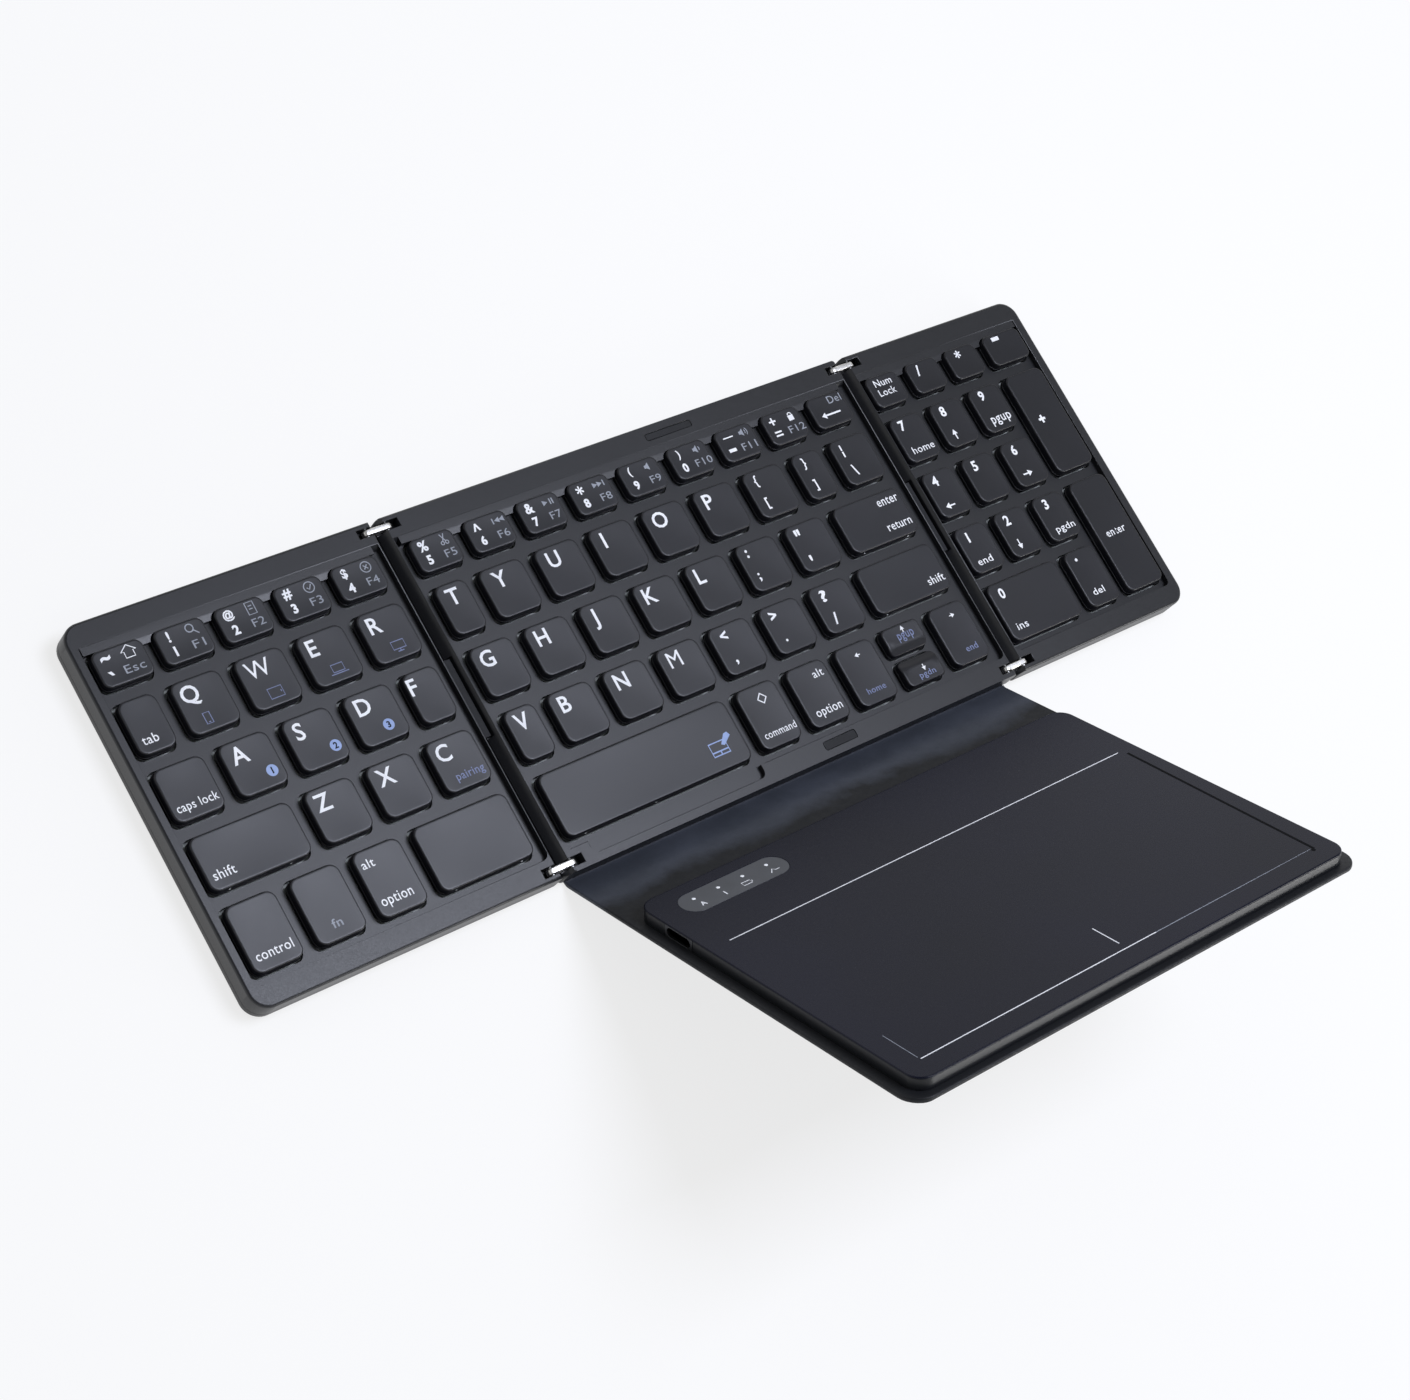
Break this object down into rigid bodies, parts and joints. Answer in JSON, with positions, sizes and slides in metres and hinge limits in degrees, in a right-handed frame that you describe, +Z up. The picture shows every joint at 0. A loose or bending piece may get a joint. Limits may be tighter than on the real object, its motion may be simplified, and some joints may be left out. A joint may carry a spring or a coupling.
{
  "type": "folding keyboard",
  "caption": "Thin keyboard in three panels that fold over the middle on link hinges, with a touchpad on a leather flap that closes over the stack.",
  "frame": {"origin": "middle of the underside of the middle panel's leather, on the table plane, with the keyboard open and flat", "axes": "+X to the typist's right along the keys, +Y to the rear, away from the typist, +Z up"},
  "size_m": [0.3135, 0.1923, 0.0866],
  "materials": {
    "case_plastic": "moulded dark grey cases with a fine matt grain",
    "key_plastic": "moulded dark grey caps with a fine satin grain and pale printed marks",
    "silicone_rubber": "milky moulded sheet",
    "circuit_board": "green solder mask",
    "leather": "dark slate artificial leather, fine soft mottle",
    "plain_steel": "turned",
    "polished_link": "bright polished",
    "magnet": "plated",
    "black_rubber": "matte black",
    "module_plastic": "satin near-black",
    "touch_cover": "satin bluish black film with thin white printed lines",
    "battery_foil": "wrinkled foil pouch",
    "port_steel": "drawn shell",
    "window_plastic": "smoked grey",
    "light_lens": "clear white lens"
  },
  "bodies": {
    "middle_panel": {"middle_top_case": "case_plastic", "middle_bottom_case": "case_plastic", "middle_dome_sheet": "silicone_rubber", "middle_circuit_board": "circuit_board", "middle_leather": "leather", "middle_screws": "plain_steel", "middle_bumpers": "black_rubber", "middle_magnets": "magnet", "middle_hinge_pins": "plain_steel"},
    "left_links": {"left_hinge_links": "polished_link", "left_flex_sleeve": "black_rubber"},
    "left_panel": {"left_top_case": "case_plastic", "left_bottom_case": "case_plastic", "left_dome_sheet": "silicone_rubber", "left_circuit_board": "circuit_board", "left_screws": "plain_steel", "left_feet": "black_rubber", "left_hinge_pins": "plain_steel"},
    "right_links": {"right_hinge_links": "polished_link", "right_flex_sleeve": "black_rubber"},
    "right_panel": {"right_top_case": "case_plastic", "right_bottom_case": "case_plastic", "right_dome_sheet": "silicone_rubber", "right_circuit_board": "circuit_board", "right_screws": "plain_steel", "right_feet": "black_rubber", "right_hinge_pins": "plain_steel"},
    "flap": {"flap_leather": "leather"},
    "touchpad": {"touch_base": "leather", "touch_shell": "module_plastic", "touch_plate": "touch_cover", "touch_circuit_board": "circuit_board", "touch_battery": "battery_foil", "charge_port": "port_steel", "led_window": "window_plastic", "status_leds": "light_lens", "touch_magnets": "magnet"},
    "left_number_keys": {"left_number_keys": "key_plastic"},
    "left_upper_keys": {"left_upper_keys": "key_plastic"},
    "left_home_keys": {"left_home_keys": "key_plastic"},
    "left_lower_keys": {"left_lower_keys": "key_plastic"},
    "left_front_keys": {"left_front_keys": "key_plastic"},
    "left_shift_key": {"left_shift_key": "key_plastic"},
    "left_blank_key": {"left_blank_key": "key_plastic"},
    "middle_number_keys": {"middle_number_keys": "key_plastic"},
    "middle_upper_keys": {"middle_upper_keys": "key_plastic"},
    "middle_home_keys": {"middle_home_keys": "key_plastic"},
    "middle_lower_keys": {"middle_lower_keys": "key_plastic"},
    "middle_front_keys": {"middle_front_keys": "key_plastic"},
    "enter_key": {"enter_key": "key_plastic"},
    "right_shift_key": {"right_shift_key": "key_plastic"},
    "space_key": {"space_key": "key_plastic"},
    "pad_top_keys": {"pad_top_keys": "key_plastic"},
    "pad_upper_keys": {"pad_upper_keys": "key_plastic"},
    "pad_home_keys": {"pad_home_keys": "key_plastic"},
    "pad_lower_keys": {"pad_lower_keys": "key_plastic"},
    "pad_front_keys": {"pad_front_keys": "key_plastic"},
    "pad_plus_key": {"pad_plus_key": "key_plastic"},
    "pad_enter_key": {"pad_enter_key": "key_plastic"}
  },
  "joints": [
    {"name": "left_link_fold", "type": "hinge", "parent": "middle_panel", "child": "left_links", "pos_m": [-0.07548, 0, 0.0063], "axis": [0, 1, 0], "range_deg": [0, 90]},
    {"name": "left_panel_fold", "type": "hinge", "parent": "left_links", "child": "left_panel", "pos_m": [-0.08148, 0, 0.0063], "axis": [0, 1, 0], "range_deg": [0, 90]},
    {"name": "right_link_fold", "type": "hinge", "parent": "middle_panel", "child": "right_links", "pos_m": [0.07548, 0, 0.0063], "axis": [0, -1, 0], "range_deg": [0, 90]},
    {"name": "right_panel_fold", "type": "hinge", "parent": "right_links", "child": "right_panel", "pos_m": [0.08148, 0, 0.0063], "axis": [0, -1, 0], "range_deg": [0, 90]},
    {"name": "flap_crease", "type": "hinge", "parent": "middle_panel", "child": "flap", "pos_m": [0, -0.0517, 0.00065], "axis": [-1, 0, 0], "range_deg": [-43.3, 46.7]},
    {"name": "touchpad_crease", "type": "hinge", "parent": "flap", "child": "touchpad", "pos_m": [0, -0.06807, 0.01608], "axis": [-1, 0, 0], "range_deg": [0, 90]},
    {"name": "left_number_keys_press", "type": "slide", "parent": "left_panel", "child": "left_number_keys", "axis": [0, 0, -1], "range_m": [0, 0.0013], "stiffness_N_per_m": 460, "springref_m": -0.0005},
    {"name": "left_upper_keys_press", "type": "slide", "parent": "left_panel", "child": "left_upper_keys", "axis": [0, 0, -1], "range_m": [0, 0.0013], "stiffness_N_per_m": 460, "springref_m": -0.0005},
    {"name": "left_home_keys_press", "type": "slide", "parent": "left_panel", "child": "left_home_keys", "axis": [0, 0, -1], "range_m": [0, 0.0013], "stiffness_N_per_m": 460, "springref_m": -0.0005},
    {"name": "left_lower_keys_press", "type": "slide", "parent": "left_panel", "child": "left_lower_keys", "axis": [0, 0, -1], "range_m": [0, 0.0013], "stiffness_N_per_m": 460, "springref_m": -0.0005},
    {"name": "left_front_keys_press", "type": "slide", "parent": "left_panel", "child": "left_front_keys", "axis": [0, 0, -1], "range_m": [0, 0.0013], "stiffness_N_per_m": 460, "springref_m": -0.0005},
    {"name": "left_shift_key_press", "type": "slide", "parent": "left_panel", "child": "left_shift_key", "axis": [0, 0, -1], "range_m": [0, 0.0013], "stiffness_N_per_m": 460, "springref_m": -0.0005},
    {"name": "left_blank_key_press", "type": "slide", "parent": "left_panel", "child": "left_blank_key", "axis": [0, 0, -1], "range_m": [0, 0.0013], "stiffness_N_per_m": 460, "springref_m": -0.0005},
    {"name": "middle_number_keys_press", "type": "slide", "parent": "middle_panel", "child": "middle_number_keys", "axis": [0, 0, -1], "range_m": [0, 0.0013], "stiffness_N_per_m": 460, "springref_m": -0.0005},
    {"name": "middle_upper_keys_press", "type": "slide", "parent": "middle_panel", "child": "middle_upper_keys", "axis": [0, 0, -1], "range_m": [0, 0.0013], "stiffness_N_per_m": 460, "springref_m": -0.0005},
    {"name": "middle_home_keys_press", "type": "slide", "parent": "middle_panel", "child": "middle_home_keys", "axis": [0, 0, -1], "range_m": [0, 0.0013], "stiffness_N_per_m": 460, "springref_m": -0.0005},
    {"name": "middle_lower_keys_press", "type": "slide", "parent": "middle_panel", "child": "middle_lower_keys", "axis": [0, 0, -1], "range_m": [0, 0.0013], "stiffness_N_per_m": 460, "springref_m": -0.0005},
    {"name": "middle_front_keys_press", "type": "slide", "parent": "middle_panel", "child": "middle_front_keys", "axis": [0, 0, -1], "range_m": [0, 0.0013], "stiffness_N_per_m": 460, "springref_m": -0.0005},
    {"name": "enter_key_press", "type": "slide", "parent": "middle_panel", "child": "enter_key", "axis": [0, 0, -1], "range_m": [0, 0.0013], "stiffness_N_per_m": 460, "springref_m": -0.0005},
    {"name": "right_shift_key_press", "type": "slide", "parent": "middle_panel", "child": "right_shift_key", "axis": [0, 0, -1], "range_m": [0, 0.0013], "stiffness_N_per_m": 460, "springref_m": -0.0005},
    {"name": "space_key_press", "type": "slide", "parent": "middle_panel", "child": "space_key", "axis": [0, 0, -1], "range_m": [0, 0.0013], "stiffness_N_per_m": 460, "springref_m": -0.0005},
    {"name": "pad_top_keys_press", "type": "slide", "parent": "right_panel", "child": "pad_top_keys", "axis": [0, 0, -1], "range_m": [0, 0.0013], "stiffness_N_per_m": 460, "springref_m": -0.0005},
    {"name": "pad_upper_keys_press", "type": "slide", "parent": "right_panel", "child": "pad_upper_keys", "axis": [0, 0, -1], "range_m": [0, 0.0013], "stiffness_N_per_m": 460, "springref_m": -0.0005},
    {"name": "pad_home_keys_press", "type": "slide", "parent": "right_panel", "child": "pad_home_keys", "axis": [0, 0, -1], "range_m": [0, 0.0013], "stiffness_N_per_m": 460, "springref_m": -0.0005},
    {"name": "pad_lower_keys_press", "type": "slide", "parent": "right_panel", "child": "pad_lower_keys", "axis": [0, 0, -1], "range_m": [0, 0.0013], "stiffness_N_per_m": 460, "springref_m": -0.0005},
    {"name": "pad_front_keys_press", "type": "slide", "parent": "right_panel", "child": "pad_front_keys", "axis": [0, 0, -1], "range_m": [0, 0.0013], "stiffness_N_per_m": 460, "springref_m": -0.0005},
    {"name": "pad_plus_key_press", "type": "slide", "parent": "right_panel", "child": "pad_plus_key", "axis": [0, 0, -1], "range_m": [0, 0.0013], "stiffness_N_per_m": 460, "springref_m": -0.0005},
    {"name": "pad_enter_key_press", "type": "slide", "parent": "right_panel", "child": "pad_enter_key", "axis": [0, 0, -1], "range_m": [0, 0.0013], "stiffness_N_per_m": 460, "springref_m": -0.0005}
  ],
  "couplings": [
    {"joint": "left_panel_fold", "follows": "left_link_fold", "ratio": 1},
    {"joint": "right_panel_fold", "follows": "right_link_fold", "ratio": 1}
  ]
}
